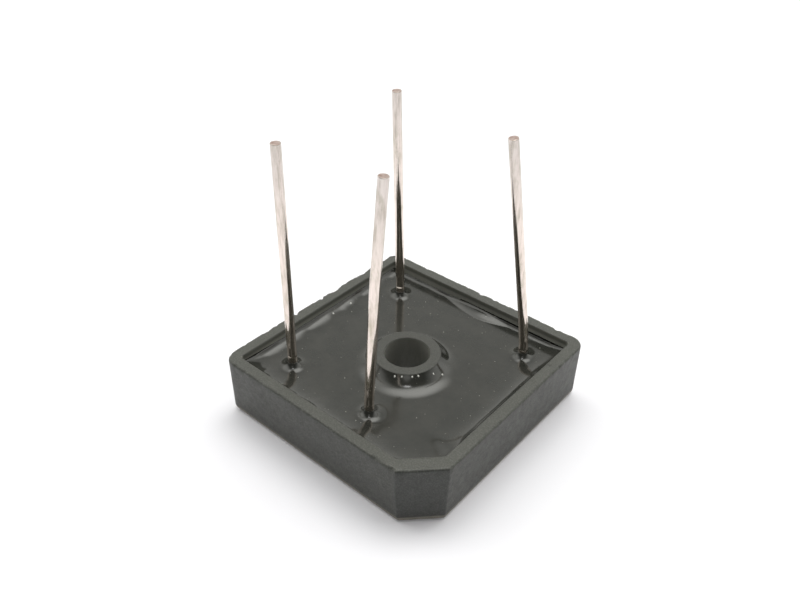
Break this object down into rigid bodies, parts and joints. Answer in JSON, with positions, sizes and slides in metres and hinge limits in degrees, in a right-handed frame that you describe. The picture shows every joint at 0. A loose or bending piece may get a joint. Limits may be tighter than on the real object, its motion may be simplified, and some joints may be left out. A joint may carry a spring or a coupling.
{
  "type": "bridge rectifier",
  "caption": "Square potted bridge rectifier in a moulded plastic case with one cut corner, a central screw hole through a round boss, and long round wire leads.",
  "frame": {"origin": "axis of the screw hole, at the closed face of the case", "axes": "+Z along the screw hole from the closed face to the open, potted side and the lead tips; the cut corner is at +X -Y and the set-in positive lead is beside it on the -Y side"},
  "size_m": [0.0286, 0.0286, 0.0326],
  "materials": {
    "case_plastic": "matte",
    "potting_epoxy": "gloss",
    "tinned_wire": "satin",
    "copper": "satin",
    "solder": "satin",
    "silicon": "gloss"
  },
  "bodies": {
    "root": {"case": "case_plastic", "potting": "potting_epoxy", "heat_spreader": "copper", "positive_lead": "tinned_wire", "solder_positive_lead": "solder", "negative_lead": "tinned_wire", "solder_negative_lead": "solder", "ac_lead_left": "tinned_wire", "solder_ac_lead_left": "solder", "ac_lead_right": "tinned_wire", "solder_ac_lead_right": "solder", "positive_plate": "copper", "negative_plate": "copper", "ac_strap_left": "copper", "ac_strap_right": "copper", "chip_front": "silicon", "solder_under_chip_front": "solder", "solder_over_chip_front": "solder", "chip_right": "silicon", "solder_under_chip_right": "solder", "solder_over_chip_right": "solder", "chip_left": "silicon", "solder_under_chip_left": "solder", "solder_over_chip_left": "solder", "chip_back": "silicon", "solder_under_chip_back": "solder", "solder_over_chip_back": "solder"}
  },
  "joints": []
}
